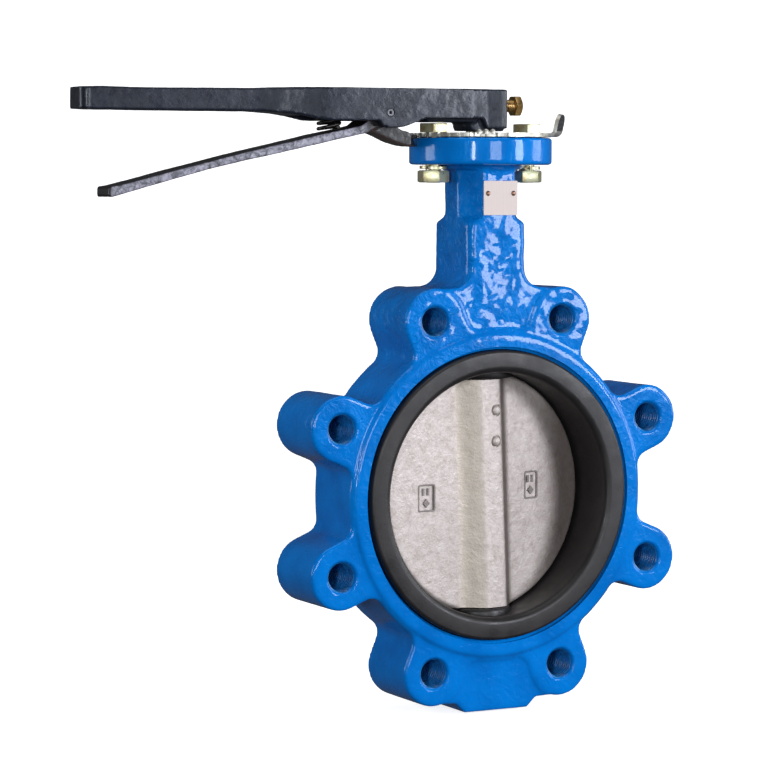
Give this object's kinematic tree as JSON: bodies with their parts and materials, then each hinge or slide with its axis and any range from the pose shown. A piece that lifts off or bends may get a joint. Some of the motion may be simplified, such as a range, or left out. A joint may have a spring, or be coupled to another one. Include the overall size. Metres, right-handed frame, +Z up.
{
  "type": "butterfly valve",
  "caption": "Lug-type butterfly valve: a rubber-lined round body with bolt lugs, a disc on a stem, and a long hand lever with a squeeze latch over a notched plate.",
  "frame": {"origin": "centre of the bore, on the stem's axis and halfway between the two pipe faces", "axes": "+Z up along the stem, -Y out of the front pipe face along the pipe, and the lever points along -X with the disc one notch past shut"},
  "size_m": [0.4075, 0.0908, 0.3946],
  "materials": {
    "blue_enamel": "glossy bright blue enamel over a rippled casting",
    "seat_rubber": "moulded black rubber, satin",
    "bearing_polymer": "pale bearing polymer, unseen inside the neck",
    "stainless_steel": "turned stainless steel",
    "bright_zinc": "bright zinc plate",
    "yellow_zinc": "yellow passivated zinc with a faint iridescence",
    "bare_plate": "thin bare metal plate, finely brushed",
    "brass": "dull brass",
    "cast_stainless": "satin cast stainless steel with a fine grain",
    "spring_steel": "blackened spring steel",
    "black_enamel": "glossy blue-black enamel over a rough casting"
  },
  "bodies": {
    "valve_body": {"body_casting": "blue_enamel", "seat_liner": "seat_rubber", "stem_bush_top": "bearing_polymer", "stem_bush_middle": "bearing_polymer", "stem_bush_bottom": "bearing_polymer", "stem_seal_upper": "seat_rubber", "stem_seal_lower": "seat_rubber", "thrust_washer": "stainless_steel", "notch_plate": "bright_zinc", "plate_bolt_left": "yellow_zinc", "plate_bolt_right": "yellow_zinc", "plate_washer_left": "yellow_zinc", "plate_washer_right": "yellow_zinc", "plate_nut_left": "yellow_zinc", "plate_nut_right": "yellow_zinc", "name_plate": "bare_plate", "name_plate_rivet_left": "brass", "name_plate_rivet_right": "brass"},
    "stem_and_lever": {"disc": "cast_stainless", "stem": "stainless_steel", "taper_pin_upper": "cast_stainless", "taper_pin_lower": "cast_stainless", "stem_circlip": "spring_steel", "lever_handle": "black_enamel", "lever_set_bolt": "brass", "latch_pivot_pin": "stainless_steel", "latch_spring": "spring_steel"},
    "latch": {"latch_lever": "black_enamel"}
  },
  "joints": [
    {"name": "stem_turn", "type": "hinge", "parent": "valve_body", "child": "stem_and_lever", "pos_m": [0, 0, 0], "axis": [0, 0, 1], "range_deg": [-9, 81]},
    {"name": "latch_squeeze", "type": "hinge", "parent": "stem_and_lever", "child": "latch", "pos_m": [-0.0735, 0, 0.2409], "axis": [0, 1, 0], "range_deg": [-5, 9.5], "stiffness_Nm_per_rad": 3, "deforming": ["latch_spring"]}
  ]
}
